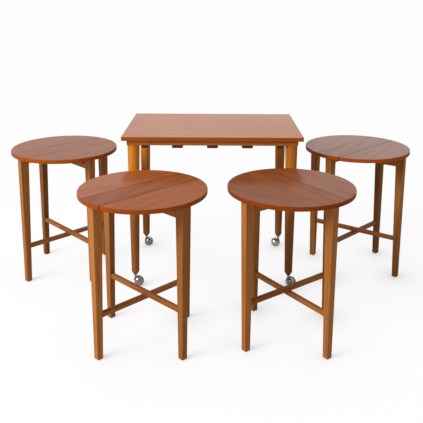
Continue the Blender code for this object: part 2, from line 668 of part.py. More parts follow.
def add_stool(corner, meshes, collection):
    """One round folding table at its corner of the group."""
    across, along = STOOL_PLACES[corner]
    middle = add_empty(f"{corner}_stool", collection, (TABLE_X + across, TABLE_Y + along, 0),
                       math.radians(BOARD_ANGLES[corner]))
    pivot = add_empty(f"{corner}_gate", collection, (0, 0, 0), math.radians(GATE_ANGLES[corner]), middle)
    add_piece(f"{corner}_centre_board", meshes["centre_board"], collection, parent=middle)
    for side, turn, sign in (("left", 0.0, 1), ("right", math.pi, -1)):
        add_piece(f"{corner}_{side}_leaf", meshes["leaf"], collection,
                  (0, sign * HINGE_OFFSET, STOOL_UNDERSIDE), turn, middle)
    for end, turn, sign in (("first", 0.0, 1), ("second", math.pi, -1)):
        add_piece(f"{corner}_{end}_fixed_leg", meshes["fixed_leg"], collection,
                  (sign * LEG_CIRCLE, 0, 0), turn, middle)
        add_piece(f"{corner}_{end}_gate_leg", meshes["gate_leg"], collection,
                  (sign * LEG_CIRCLE, 0, 0), turn, pivot)
    add_piece(f"{corner}_fixed_stretcher", meshes["fixed_stretcher"], collection, parent=middle)
    add_piece(f"{corner}_gate_rail", meshes["gate_rail"], collection, parent=pivot)
    add_piece(f"{corner}_gate_stretcher", meshes["gate_stretcher"], collection, parent=pivot)


def main():
    clear_scene()
    collection = bpy.data.collections.new("folding_table_with_stools")
    bpy.context.scene.collection.children.link(collection)
    add_table(collection)
    meshes = stool_meshes()
    for corner in STOOL_PLACES:
        add_stool(corner, meshes, collection)


main()
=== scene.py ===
"""Teak table on ball castors with four folding round tables, dressed for a studio picture."""

import json
import logging
import math
from dataclasses import dataclass, field, replace
from enum import Enum
from typing import Mapping, Optional, Sequence, Union

import bmesh
import bpy
from mathutils import Matrix, Vector

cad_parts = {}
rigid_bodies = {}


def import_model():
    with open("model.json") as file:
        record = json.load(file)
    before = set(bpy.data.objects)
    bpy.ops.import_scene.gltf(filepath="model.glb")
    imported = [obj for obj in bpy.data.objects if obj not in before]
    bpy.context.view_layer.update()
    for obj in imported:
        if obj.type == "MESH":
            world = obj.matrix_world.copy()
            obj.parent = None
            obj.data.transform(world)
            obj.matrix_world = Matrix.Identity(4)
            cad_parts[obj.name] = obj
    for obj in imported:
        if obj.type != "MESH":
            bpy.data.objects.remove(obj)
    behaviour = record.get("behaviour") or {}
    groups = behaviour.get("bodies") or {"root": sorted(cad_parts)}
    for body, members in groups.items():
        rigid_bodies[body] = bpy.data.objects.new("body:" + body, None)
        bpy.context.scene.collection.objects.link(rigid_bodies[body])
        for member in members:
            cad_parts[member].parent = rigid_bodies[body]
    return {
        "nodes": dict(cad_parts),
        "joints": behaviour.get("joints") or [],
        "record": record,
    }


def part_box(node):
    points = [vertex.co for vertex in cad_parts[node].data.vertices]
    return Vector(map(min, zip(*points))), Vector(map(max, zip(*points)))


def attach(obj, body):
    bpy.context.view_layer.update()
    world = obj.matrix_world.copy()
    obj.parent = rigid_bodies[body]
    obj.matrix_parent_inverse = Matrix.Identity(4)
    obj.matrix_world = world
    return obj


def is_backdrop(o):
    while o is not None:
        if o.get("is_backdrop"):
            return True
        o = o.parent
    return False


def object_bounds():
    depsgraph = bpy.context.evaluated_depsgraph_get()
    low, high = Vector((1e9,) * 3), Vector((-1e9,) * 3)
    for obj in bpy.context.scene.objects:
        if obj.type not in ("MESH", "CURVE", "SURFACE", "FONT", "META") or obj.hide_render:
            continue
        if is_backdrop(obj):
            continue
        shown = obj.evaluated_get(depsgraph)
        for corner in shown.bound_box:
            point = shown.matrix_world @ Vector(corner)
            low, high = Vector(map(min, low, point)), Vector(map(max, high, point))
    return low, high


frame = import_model()
CAD_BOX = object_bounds()

LOG = logging.getLogger("scene")
IMAGE_SIZE = 423
UP = Vector((0, 0, 1))
WHITE = (1.0, 1.0, 1.0)
PAPER = (0.985, 0.985, 0.985)

# A Mix node has inputs of one name for numbers, vectors and colours, so colours go by number.
MIX_SHARE = 0
MIX_FIRST_COLOUR = 6
MIX_SECOND_COLOUR = 7
MIX_COLOUR_OUT = 2

Colour = tuple[float, float, float]
Point = tuple[float, float, float]
Step = tuple[float, float]
Value = Union["Field", float]


class Field:
    """A value or a vector that varies over a surface, as the output of a shader node."""

    def __init__(self, graph: "Graph", socket: bpy.types.NodeSocket) -> None:
        """Keeps the tree and the output."""
        self.graph = graph
        self.socket = socket

    def combined(self, operation: str, *others: Value, swap: bool = False) -> "Field":
        """The result of a Math node.

        Args:
            operation: Name of the node's operation.
            others: Further inputs, after this one.
            swap: Whether this value is the second input and not the first.

        Returns:
            The node's output.
        """
        values = [self, *others]
        if swap:
            values[0], values[1] = values[1], values[0]
        settings = {"operation": operation}
        return self.graph.node("ShaderNodeMath", settings, dict(enumerate(values)))

    def __add__(self, other: Value) -> "Field":
        """The sum."""
        return self.combined("ADD", other)

    def __sub__(self, other: Value) -> "Field":
        """The difference."""
        return self.combined("SUBTRACT", other)

    def __mul__(self, other: Value) -> "Field":
        """The product."""
        return self.combined("MULTIPLY", other)

    def __pow__(self, other: Value) -> "Field":
        """The power."""
        return self.combined("POWER", other)

    def __radd__(self, other: float) -> "Field":
        """The sum, with a number first."""
        return self.combined("ADD", other, swap=True)

    def __rsub__(self, other: float) -> "Field":
        """A number less this value."""
        return self.combined("SUBTRACT", other, swap=True)

    def __rmul__(self, other: float) -> "Field":
        """The product, with a number first."""
        return self.combined("MULTIPLY", other, swap=True)

    def root(self) -> "Field":
        """The square root."""
        return self.combined("SQRT")

    def size(self) -> "Field":
        """The value without its sign."""
        return self.combined("ABSOLUTE")

    def fraction(self) -> "Field":
        """The part after the decimal point."""
        return self.combined("FRACT")

    def most(self, other: Value) -> "Field":
        """The greater of two values."""
        return self.combined("MAXIMUM", other)

    def eased(self, low: float, high: float) -> "Field":
        """A soft step.

        Args:
            low: The value that gives 0.
            high: The value that gives 1.

        Returns:
            A value from 0 to 1.
        """
        return self.graph.node(
            "ShaderNodeMapRange",
            {"interpolation_type": "SMOOTHSTEP"},
            {"Value": self, "From Min": low, "From Max": high},
        )

    def along(self, direction: Vector) -> "Field":
        """How far this vector reaches in a direction.

        Args:
            direction: The direction, of length 1 for a true distance.

        Returns:
            The distance.
        """
        settings = {"operation": "DOT_PRODUCT"}
        sockets = {0: self, 1: tuple(direction)}
        return self.graph.node("ShaderNodeVectorMath", settings, sockets, "Value")

    def length(self) -> "Field":
        """The length of this vector."""
        return self.graph.node("ShaderNodeVectorMath", {"operation": "LENGTH"}, {0: self}, "Value")


class Graph:
    """The node tree of a material or of the world."""

    def __init__(self, owner: Union[bpy.types.Material, bpy.types.World]) -> None:
        """Turns the owner's nodes on and keeps its tree.

        Args:
            owner: The material or the world.
        """
        owner.use_nodes = True
        self.owner = owner
        self.tree = owner.node_tree

    @classmethod
    def of_material(cls, name: str) -> "Graph":
        """The tree of a new material."""
        return cls(bpy.data.materials.new(name))

    def node(
        self,
        kind: str,
        settings: Mapping[str, object],
        sockets: Mapping[Union[str, int], object],
        output: Union[str, int] = 0,
    ) -> Field:
        """Adds any node.

        Args:
            kind: The node's type.
            settings: Its own settings, which may change its sockets.
            sockets: Values or fields for its inputs, by name or number.
            output: Name or number of the output that is wanted.

        Returns:
            That output.
        """
        made = self.tree.nodes.new(kind)
        for key, value in settings.items():
            setattr(made, key, value)
        for key, value in sockets.items():
            self.feed(made.inputs[key], value)
        return Field(self, made.outputs[output])

    def feed(self, socket: bpy.types.NodeSocket, value: object) -> None:
        """Links a field to a socket, or sets the socket to a constant.

        Args:
            socket: The input.
            value: A field, or a constant of the socket's own type.
        """
        if isinstance(value, Field):
            self.tree.links.new(value.socket, socket)
        else:
            socket.default_value = value

    def place(self) -> Field:
        """The point of the surface in the object's own frame, in metres."""
        return self.node("ShaderNodeTexCoord", {}, {}, "Object")

    def facing(self) -> Field:
        """The surface's direction in the object's own frame."""
        return self.node("ShaderNodeTexCoord", {}, {}, "Normal")

    def ray_is(self, kind: str) -> Field:
        """Whether the surface is met by rays of a kind, as 0 or 1."""
        return self.node("ShaderNodeLightPath", {}, {}, f"Is {kind} Ray")

    def vector(self, x: Value, y: Value, z: Value) -> Field:
        """A vector of three values."""
        return self.node("ShaderNodeCombineXYZ", {}, {0: x, 1: y, 2: z})

    def noise(
        self, at: Field, detail: float = 2.0, roughness: float = 0.5, scale: float = 1.0
    ) -> Field:
        """Soft noise, from 0 to 1.

        Args:
            at: Where it is read.
            detail: How many finer layers it has.
            roughness: How strong the finer layers are.
            scale: How many features a unit holds.

        Returns:
            The noise.
        """
        sockets = {"Vector": at, "Scale": scale, "Detail": detail, "Roughness": roughness}
        return self.node("ShaderNodeTexNoise", {}, sockets)

    def blend(self, share: Value, first: object, second: object) -> Field:
        """A colour between two others.

        Args:
            share: 0 for the first colour, 1 for the second.
            first: A colour or a field.
            second: A colour or a field.

        Returns:
            The mixed colour.
        """
        ends = [(*c, 1.0) if isinstance(c, tuple) else c for c in (first, second)]
        settings = {"data_type": "RGBA", "clamp_factor": True}
        sockets = {MIX_SHARE: share, MIX_FIRST_COLOUR: ends[0], MIX_SECOND_COLOUR: ends[1]}
        return self.node("ShaderNodeMix", settings, sockets, MIX_COLOUR_OUT)

    def tinted(self, share: Value, colour: Field, tint: Colour) -> Field:
        """A colour multiplied by a tint.

        Args:
            share: How much of the tint is used.
            colour: The colour.
            tint: The tint, which may be above 1.

        Returns:
            The tinted colour.
        """
        settings = {"data_type": "RGBA", "blend_type": "MULTIPLY", "clamp_factor": True}
        sockets = {MIX_SHARE: share, MIX_FIRST_COLOUR: colour, MIX_SECOND_COLOUR: (*tint, 1.0)}
        return self.node("ShaderNodeMix", settings, sockets, MIX_COLOUR_OUT)

    def bumped(self, height: Field, distance: float, strength: float) -> Field:
        """The surface's direction, roughened by a height field.

        Args:
            height: The height, from 0 to 1.
            distance: What a height of 1 stands for, in metres.
            strength: How much of it shows.

        Returns:
            The new direction.
        """
        sockets = {"Height": height, "Distance": distance, "Strength": strength}
        return self.node("ShaderNodeBump", {}, sockets)

    def shade(self, **sockets: object) -> bpy.types.Material:
        """Sets the sockets of the material's shader.

        Args:
            sockets: Constants or fields by socket name, with underscores for spaces.

        Returns:
            The material.
        """
        shader = self.tree.nodes["Principled BSDF"]
        titles = {"Specular Ior Level": "Specular IOR Level", "Coat Ior": "Coat IOR"}
        for key, value in sockets.items():
            title = key.replace("_", " ").title()
            given = (*value, 1.0) if isinstance(value, tuple) else value
            self.feed(shader.inputs[titles.get(title, title)], given)
        return self.owner


# How far apart two pieces are cut from the log, in metres for each seed.
SHIFT_ALONG = 0.731
SHIFT_ACROSS = 0.377
# Where the pith runs, and how sharp and how wavy the rings round it are.
PITH_SPREAD = 0.02
PITH_TURN = 2.1
PITH_SLOPE = 0.03
RING_SHARPNESS = 1.7
RIPPLE_IN_RINGS = 1.1
# What the figure is mixed from, and the step that sharpens it.
RING_SHARE = 0.26
FIBRE_SHARE = 0.22
STRAND_SHARE = 0.26
PATCH_SHARE = 0.26
FIGURE_STEP = (0.26, 0.74)
# How much of the colour each mark takes, and how dark the dirt and painted shade in a seam are.
BAND_SHARE = 0.8
PORE_SHARE = 0.40
EDGE_FIBRE_SHARE = 0.35
WORN_SHARE = 0.4
GRIME_AND_SHADE_TONE = 0.12
# How level the surface lies where the face, the worn edge and the polish start and are full.
FACE_STEP = (0.30, 0.60)
WORN_STEP = (0.35, 0.60)
WORN_END_STEP = (0.80, 0.97)
POLISH_STEP = (0.55, 0.90)
# How far each mark stands out, and how much it dulls, brightens or thins the finish.
FIBRE_RELIEF = 0.3
RING_RELIEF = 0.15
PORE_RELIEF = 0.7
RELIEF_STRENGTH = 0.5
FIGURE_DULLNESS = 0.08
PORE_DULLNESS = 0.20
WORN_SHEEN = 0.06
THIN_POLISH_SHARE = 0.25


@dataclass(frozen=True)
class Mark:
    """A kind of mark in wood, as noise that is drawn out along the grain.

    Its step is where in the noise the mark starts and where it is full.
    """

    across_per_metre: float
    along_per_metre: float
    detail: float = 2.0
    roughness: float = 0.5
    step: Step = (0.0, 1.0)


WANDER = Mark(6.0, 1.7)
RIPPLE = Mark(25.0, 5.0)
BAND = Mark(34.0, 0.8, detail=3.0, roughness=0.6, step=(0.50, 0.74))
STRAND = Mark(115.0, 1.3, roughness=0.55, step=(0.58, 0.70))
FIBRE = Mark(420.0, 11.0, detail=3.0, roughness=0.65, step=(0.35, 0.75))
PATCH = Mark(4.5, 2.4, step=(0.35, 0.70))
PORE = Mark(1500.0, 70.0, detail=1.0, step=(0.62, 0.72))


class Cut(Enum):
    """Which way a piece of wood was sawn, by how far below its face the pith lies, in metres."""

    FLAT = 0.055
    QUARTER = 0.6


@dataclass(frozen=True)
class Seam:
    """The line between a leaf and its board, which leans outwards as it rises."""

    foot: Vector
    outwards: Vector
    # How dark the seam's dirt and painted shade are.
    grime_and_shade: float
    lean: float = 0.003
    height: float = 0.0155
    core: float = 0.0006
    reach: float = 0.0036

    def shadow(self, place: Field) -> Field:
        """How much dirt, and painted shade, lies beside the seam.

        Args:
            place: The point of the surface.

        Returns:
            A value from 0 to 1.
        """
        across = self.outwards - UP * (self.lean / self.height)
        distance = (place.along(across) - across.dot(self.foot)).size()
        return 1.0 - distance.eased(self.core, self.reach)


@dataclass(frozen=True)
class Board:
    """How one piece differs from its finish, as factors, and the seams that it meets."""

    # On a leg, this tone is painted light and shade.
    tone: float = 1.0
    rim_tone: float = 1.0
    streak: float = 1.0
    fineness: float = 1.0
    figure: float = 1.0
    polish: float = 1.0
    seams: tuple[Seam, ...] = ()


class Plank:
    """The stretch of wood that a piece is cut from, with its marks."""

    def __init__(self, graph: Graph, piece: bpy.types.Object, seed: int) -> None:
        """Lays the wood along the piece.

        Args:
            graph: The tree of the piece's material.
            piece: The CAD node or piece that it is for.
            seed: Number that sets which stretch of wood it is.
        """
        grain, flat, deep = grain_frame(piece)
        self.graph = graph
        self.seed = seed
        self.place = graph.place()
        self.lengthwise = self.place.along(grain) + SHIFT_ALONG * seed
        self.across = self.place.along(flat) + SHIFT_ACROSS * seed
        self.depth = self.place.along(deep)

    def marks(self, mark: Mark, sideways: Field, fineness: float = 1.0) -> Field:
        """The noise of one kind of mark.

        Args:
            mark: The kind.
            sideways: The place across the grain.
            fineness: How much finer it is here than usual.

        Returns:
            The noise, from 0 to 1.
        """
        per_metre = mark.across_per_metre * fineness
        at = self.graph.vector(
            self.lengthwise * mark.along_per_metre, sideways * per_metre, self.depth * per_metre
        )
        return self.graph.noise(at, mark.detail, mark.roughness)

    def rings(self, sideways: Field, cut: Cut, per_metre: float) -> Field:
        """The year rings round the pith.

        Args:
            sideways: The place across the grain.
            cut: Which way the piece was sawn.
            per_metre: How many rings a metre holds.

        Returns:
            A value that rises from 0 to 1 through each ring.
        """
        pith_place = SHIFT_ACROSS * self.seed + PITH_SPREAD * math.sin(self.seed * PITH_TURN)
        off_centre = sideways - pith_place
        sink = self.depth + cut.value + self.lengthwise * PITH_SLOPE
        radius = (off_centre * off_centre + sink * sink).root()
        rings = radius * per_metre + self.marks(RIPPLE, sideways) * RIPPLE_IN_RINGS
        return rings.fraction() ** RING_SHARPNESS


@dataclass(frozen=True)
class TeakFinish:
    """Oiled and lacquered teak.

    A painted head light makes the head of a turned leg lighter and more orange, as painted bounce
    light from the tops. It comes in between the two heights of its step, in metres.
    """

    name: str
    dark: Colour
    middle: Colour
    light: Colour
    edge: Colour
    cut: Cut
    roughness: float = 0.42
    polish: float = 0.0
    polish_roughness: float = 0.27
    gloss: float = 0.10
    rings_per_metre: float = 150.0
    streak: float = 0.5
    wander: float = 0.03
    bump_height: float = 0.00012
    painted_head_light: Optional[Colour] = None
    painted_head_light_step: Step = (0.28, 0.52)

    def made_for(
        self, piece: bpy.types.Object, seed: int, board: Board = Board()
    ) -> bpy.types.Material:
        """Teak whose grain runs along the piece.

        Args:
            piece: The CAD node or piece that it is for.
            seed: Number that sets which stretch of wood the piece is cut from.
            board: What sets the piece apart.

        Returns:
            The material.
        """
        graph = Graph.of_material(f"{self.name}_{piece.name}")
        plank = Plank(graph, piece, seed)
        wander = plank.marks(WANDER, plank.across) - 0.5
        sway = plank.across + wander * self.wander
        ring = plank.rings(sway, self.cut, self.rings_per_metre)
        band = plank.marks(BAND, sway)
        strand = plank.marks(STRAND, sway, board.fineness)
        fibre = plank.marks(FIBRE, sway)
        patch = plank.marks(PATCH, sway)
        pores = plank.marks(PORE, plank.across).eased(*PORE.step)

        figure = ring * RING_SHARE + fibre * FIBRE_SHARE + strand * STRAND_SHARE
        figure = (figure + patch * PATCH_SHARE).eased(*FIGURE_STEP)
        light = scaled(self.light, board.tone)
        middle = scaled(self.middle, board.tone)
        dark = scaled(self.dark, board.tone)
        streak = self.streak * board.streak
        wood = graph.blend(0.5 + (figure - 0.5) * board.figure, light, middle)
        wood = graph.blend(band.eased(*BAND.step) * (streak * BAND_SHARE), wood, dark)
        wood = graph.blend(strand.eased(*STRAND.step) * streak, wood, dark)
        wood = graph.blend(pores * PORE_SHARE, wood, dark)
        # Painted light: the head of a turned leg is lighter and more orange, standing in for
        # bounce light.
        if self.painted_head_light:
            head = plank.place.along(UP).eased(*self.painted_head_light_step)
            wood = graph.tinted(head, wood, self.painted_head_light)

        rise = graph.facing().along(UP)
        level = rise.size()
        if self.edge != self.middle:
            edge = scaled(self.edge, board.rim_tone)
            edge_wood = graph.blend(fibre.eased(*FIBRE.step) * EDGE_FIBRE_SHARE, edge, dark)
            wood = graph.blend(1.0 - level.eased(*FACE_STEP), wood, edge_wood)
        worn = level.eased(*WORN_STEP) * (1.0 - level.eased(*WORN_END_STEP))
        wood = graph.blend(worn * patch.eased(*PATCH.step) * WORN_SHARE, wood, light)
        # Dirt along each seam, and painted shade in it, darken the wood beside the seam.
        for seam in board.seams:
            grime_and_shade = seam.shadow(plank.place) * seam.grime_and_shade
            wood = graph.blend(grime_and_shade, wood, scaled(dark, GRIME_AND_SHADE_TONE))

        relief = fibre * FIBRE_RELIEF + ring * RING_RELIEF - pores * PORE_RELIEF
        dullness = self.roughness + figure * FIGURE_DULLNESS + pores * PORE_DULLNESS
        polish = rise.eased(*POLISH_STEP) * (1.0 - patch * THIN_POLISH_SHARE)
        return graph.shade(
            base_color=wood,
            roughness=dullness - worn * WORN_SHEEN,
            metallic=0.0,
            specular_ior_level=self.gloss,
            coat_weight=polish * (self.polish * board.polish),
            coat_roughness=self.polish_roughness,
            normal=graph.bumped(relief, self.bump_height, RELIEF_STRENGTH),
        )


@dataclass(frozen=True)
class MetalFinish:
    """Plated metal with handling wear."""

    name: str
    base: Colour
    tarnish: Colour
    roughness: float
    clouds_per_metre: float = 150.0
    cloud_step: Step = (0.40, 0.65)
    tarnish_share: float = 0.8
    cloud_dullness: float = 0.12
    grains_per_metre: float = 900.0
    grain_dullness: float = 0.04
    grain_height: float = 0.00002
    grain_strength: float = 0.3

    def made(self) -> bpy.types.Material:
        """Plated metal, duller where it has been touched.

        Returns:
            The material.
        """
        graph = Graph.of_material(self.name)
        place = graph.place()
        cloud = graph.noise(place, detail=3.0, roughness=0.6, scale=self.clouds_per_metre)
        fine = graph.noise(place, scale=self.grains_per_metre)
        dull = cloud.eased(*self.cloud_step)
        return graph.shade(
            base_color=graph.blend(dull * self.tarnish_share, self.base, self.tarnish),
            roughness=self.roughness + dull * self.cloud_dullness + fine * self.grain_dullness,
            metallic=1.0,
            normal=graph.bumped(fine, self.grain_height, self.grain_strength),
        )


ROUND_TOP = TeakFinish(
    "round_top_teak",
    dark=(0.115, 0.024, 0.004),
    middle=(0.235, 0.053, 0.007),
    light=(0.325, 0.080, 0.011),
    edge=(0.350, 0.064, 0.002),
    cut=Cut.FLAT,
    polish=0.46,
    polish_roughness=0.15,
    gloss=0.05,
    streak=0.75,
)
TABLE_TOP = TeakFinish(
    "table_top_teak",
    dark=(0.205, 0.056, 0.011),
    middle=(0.290, 0.083, 0.014),
    light=(0.348, 0.107, 0.020),
    edge=(0.370, 0.076, 0.002),
    cut=Cut.QUARTER,
    polish=0.68,
    polish_roughness=0.22,
    gloss=0.05,
    streak=0.42,
    wander=0.010,
)
STICK = TeakFinish(
    "leg_teak",
    dark=(0.145, 0.042, 0.008),
    middle=(0.275, 0.093, 0.019),
    light=(0.350, 0.130, 0.029),
    edge=(0.275, 0.093, 0.019),
    cut=Cut.QUARTER,
    roughness=0.46,
    gloss=0.08,
    streak=0.55,
)
TURNED = TeakFinish(
    "turned_leg_teak",
    dark=(0.105, 0.031, 0.006),
    middle=(0.215, 0.070, 0.014),
    light=(0.275, 0.094, 0.020),
    edge=(0.215, 0.070, 0.014),
    cut=Cut.QUARTER,
    roughness=0.40,
    # Painted bounce light on the head of each turned leg.
    painted_head_light=(2.15, 2.10, 0.85),
    streak=0.45,
)
RAIL = TeakFinish(
    "front_rail_teak",
    dark=(0.165, 0.051, 0.011),
    middle=(0.345, 0.114, 0.026),
    light=(0.430, 0.152, 0.038),
    edge=(0.345, 0.114, 0.026),
    cut=Cut.QUARTER,
    roughness=0.50,
    streak=0.45,
)
UNDERFRAME = TeakFinish(
    "rail_teak",
    dark=(0.055, 0.019, 0.006),
    middle=(0.120, 0.042, 0.011),
    light=(0.175, 0.064, 0.018),
    edge=(0.235, 0.082, 0.020),
    cut=Cut.QUARTER,
    roughness=0.55,
)
# The hood's chrome is far darker than the wheel's: painted dark reflection on the top half of each
# ball.
PAINTED_DARK_HOOD_CHROME = MetalFinish("painted_dark_hood_chrome", (0.32, 0.30, 0.29), (0.07, 0.06, 0.055), 0.10)
WHEEL_CHROME = MetalFinish("wheel_chrome", (0.62, 0.57, 0.53), (0.26, 0.22, 0.19), 0.24)
NICKEL = MetalFinish("nickel_plate", (0.58, 0.53, 0.46), (0.26, 0.21, 0.16), 0.30)
SHARP_ANGLE = math.radians(35)

# The legs' tones here are painted light and shade: lighter for legs lit by the key lamp, darker
# for legs in the shade of the tops.
ROUND_TABLES = {
    "front_left": {
        "centre_board": Board(tone=0.75, rim_tone=0.88, streak=1.3, fineness=1.7, polish=0.52),
        "left_leaf": Board(tone=0.96, rim_tone=0.88, streak=0.30, figure=0.50, polish=1.0),
        "right_leaf": Board(tone=0.90, rim_tone=0.86, streak=0.20, figure=0.50, polish=0.56),
        "second_fixed_leg": Board(tone=1.25),
        "second_gate_leg": Board(tone=0.88),
    },
    "front_right": {
        "centre_board": Board(tone=0.70, rim_tone=0.62, streak=0.7, fineness=1.5, polish=0.60),
        "left_leaf": Board(tone=0.65, rim_tone=0.66, streak=0.4, figure=0.7, polish=0.58),
        "right_leaf": Board(tone=0.67, rim_tone=0.58, streak=0.5, figure=0.7, polish=0.90),
        "first_gate_leg": Board(tone=1.14),
        "second_fixed_leg": Board(tone=1.10),
    },
    "rear_left": {
        "centre_board": Board(tone=0.69, rim_tone=1.04, streak=0.6, fineness=1.4, polish=1.07),
        "left_leaf": Board(tone=0.72, rim_tone=1.04, streak=0.4, figure=0.6, polish=1.07),
        "right_leaf": Board(tone=0.72, rim_tone=1.04, streak=0.4, figure=0.6, polish=1.07),
        "first_gate_leg": Board(tone=0.64),
        "second_fixed_leg": Board(tone=1.08),
    },
    "rear_right": {
        "centre_board": Board(tone=0.59, rim_tone=1.04, streak=0.6, fineness=1.4, polish=1.50),
        "left_leaf": Board(tone=0.60, rim_tone=1.04, streak=0.5, figure=0.7, polish=1.50),
        "right_leaf": Board(tone=0.60, rim_tone=1.04, streak=0.5, figure=0.7, polish=1.50),
        "first_fixed_leg": Board(tone=0.66),
        "second_gate_leg": Board(tone=0.92),
    },
}
# How strongly dirt and painted shade darken each table's two seams.
SEAM_GRIME_AND_SHADE = {
    "front_left": {"left": 0.20, "right": 0.85},
    "front_right": {"left": 0.12, "right": 0.25},
    "rear_left": {"left": 0.25, "right": 0.35},
    "rear_right": {"left": 0.15, "right": 0.90},
}
# Tones of the table's legs, painted light and shade: the front left leg lighter in the key lamp,
# the front right one darker in the round tables' shade.
TABLE_LEG_PAINTED_LIGHT = {"front_left": 1.10, "front_right": 0.84, "rear_left": 1.0, "rear_right": 1.0}


def scaled(colour: Colour, factor: float) -> Colour:
    """A lighter or darker colour of the same hue."""
    return tuple(channel * factor for channel in colour)


def grain_frame(piece: bpy.types.Object) -> tuple[Vector, Vector, Vector]:
    """The directions along, across and into a piece of wood.

    Args:
        piece: An object whose mesh holds its place.

    Returns:
        Three unit vectors: along its greatest length, across its face, and into the face.
    """
    points = [corner.co for corner in piece.data.vertices]
    middle = sum(points, Vector()) / len(points)
    low = Vector(min(p[i] for p in points) for i in range(3))
    high = Vector(max(p[i] for p in points) for i in range(3))
    flat_span = max(high.x - low.x, high.y - low.y)
    if high.z - low.z > flat_span:
        return Vector((0, 0, 1)), Vector((1, 0, 0)), Vector((0, 1, 0))
    xx = sum((p.x - middle.x) ** 2 for p in points)
    yy = sum((p.y - middle.y) ** 2 for p in points)
    xy = sum((p.x - middle.x) * (p.y - middle.y) for p in points)
    angle = math.atan2(2 * xy, xx - yy) / 2
    grain = Vector((math.cos(angle), math.sin(angle), 0))
    return grain, Vector((-grain.y, grain.x, 0)), Vector((0, 0, 1))


def dress(node: str, material: bpy.types.Material) -> None:
    """Gives a CAD node a material.

    Args:
        node: The node's name.
        material: The material, in place of all it had.
    """
    slots = frame["nodes"][node].data.materials
    slots.clear()
    slots.append(material)


def object_from(
    name: str, shape: bmesh.types.BMesh, material: bpy.types.Material
) -> bpy.types.Object:
    """An object in the scene from a bmesh, shaded smooth except at sharp edges.

    Args:
        name: The object's name.
        shape: Its mesh, which is freed.
        material: Its material.

    Returns:
        The object.
    """
    mesh = bpy.data.meshes.new(name)
    shape.to_mesh(mesh)
    shape.free()
    mesh.shade_smooth()
    mesh.set_sharp_from_angle(angle=SHARP_ANGLE)
    mesh.materials.append(material)
    made = bpy.data.objects.new(name, mesh)
    bpy.context.scene.collection.objects.link(made)
    return made


def fit_metal(
    name: str, shape: bmesh.types.BMesh, material: bpy.types.Material, body: str
) -> None:
    """Makes a piece of hardware from a bmesh and lets it ride on a body.

    Args:
        name: The piece's name.
        shape: Its mesh, which is freed.
        material: Its material.
        body: The body that carries it.
    """
    piece = object_from(name, shape, material)
    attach(piece, body)


def add_block(
    shape: bmesh.types.BMesh, size: Sequence[float], centre: Sequence[float], ease: float
) -> None:
    """Adds a box with eased edges to a bmesh.

    Args:
        shape: The mesh that it is added to.
        size: Its length, width and height.
        centre: Its middle.
        ease: How far its edges are cut back.
    """
    made = bmesh.ops.create_cube(shape, size=1)["verts"]
    bmesh.ops.scale(shape, vec=size, verts=made)
    edges = list(dict.fromkeys(edge for corner in made for edge in corner.link_edges))
    eased = bmesh.ops.bevel(
        shape, geom=edges, offset=ease, segments=2, profile=0.5, affect="EDGES"
    )
    bmesh.ops.translate(shape, vec=centre, verts=eased["verts"])


def add_turned(
    shape: bmesh.types.BMesh,
    profile: Sequence[tuple[float, float]],
    matrix: Matrix,
    facets: int = 20,
) -> None:
    """Adds a solid turned from a profile of (radius, height) points to a bmesh.

    Args:
        shape: The mesh that it is added to.
        profile: Points from one end to the other, with radius 0 at both ends.
        matrix: Where the solid goes. Its axis is Z.
        facets: How many sides it has.
    """
    rows = []
    for radius, height in profile:
        count = 1 if radius == 0 else facets
        row = []
        for k in range(count):
            turn = 2 * math.pi * k / facets
            point = Vector((radius * math.cos(turn), radius * math.sin(turn), height))
            row.append(shape.verts.new(matrix @ point))
        rows.append(row)
    for lower, upper in zip(rows, rows[1:]):
        for k in range(facets):
            after = (k + 1) % facets
            ring = [lower[k % len(lower)], lower[after % len(lower)]]
            ring += [upper[after % len(upper)], upper[k % len(upper)]]
            corners = list(dict.fromkeys(ring))
            if len(corners) > 2:
                shape.faces.new(corners)
    bmesh.ops.recalc_face_normals(shape, faces=shape.faces[:])


@dataclass(frozen=True)
class ScrewHead:
    """A countersunk screw head with two raised bars beside its slot.

    The dimple's floor and the bars' height and level are shares of the dome's height. The other
    shares are of the radius.
    """

    radius: float
    cone_share: float = 0.5
    rim_share: float = 0.2
    dome_share: float = 0.28
    dome_angles: tuple[float, ...] = (0.5, 1.0, 1.35)
    dimple_share: float = 0.12
    dimple_floor_share: float = 0.2
    bar_length_share: float = 1.5
    bar_width_share: float = 0.1
    bar_height_share: float = 0.5
    bar_offset_share: float = 0.16
    bar_level_share: float = 0.82
    facets: int = 16

    def add_to(self, shape: bmesh.types.BMesh, matrix: Matrix) -> None:
        """Adds the head to a bmesh.

        Args:
            shape: The mesh that it is added to.
            matrix: Its place. It is seen from +Z and its rim lies at height 0.
        """
        dome = self.radius * self.dome_share
        dimple = self.radius * self.dimple_share
        dimple_floor = dome * self.dimple_floor_share
        profile = [
            (0, -self.radius * self.cone_share),
            (self.radius, -self.radius * self.rim_share),
            (self.radius, 0),
        ]
        profile += [(self.radius * math.cos(a), dome * math.sin(a)) for a in self.dome_angles]
        profile += [(dimple, dome), (dimple, dimple_floor), (0, dimple_floor)]
        add_turned(shape, profile, matrix, self.facets)
        for side in (-1, 1):
            offset = side * self.radius * self.bar_offset_share
            place = matrix @ Matrix.Translation((0, offset, dome * self.bar_level_share))
            made = bmesh.ops.create_cube(shape, size=1, matrix=place)["verts"]
            centre = place.translation
            for corner in made:
                local = corner.co - centre
                length = local.x * self.radius * self.bar_length_share
                width = local.y * self.radius * self.bar_width_share
                height = local.z * dome * self.bar_height_share
                corner.co = centre + Vector((length, width, height))


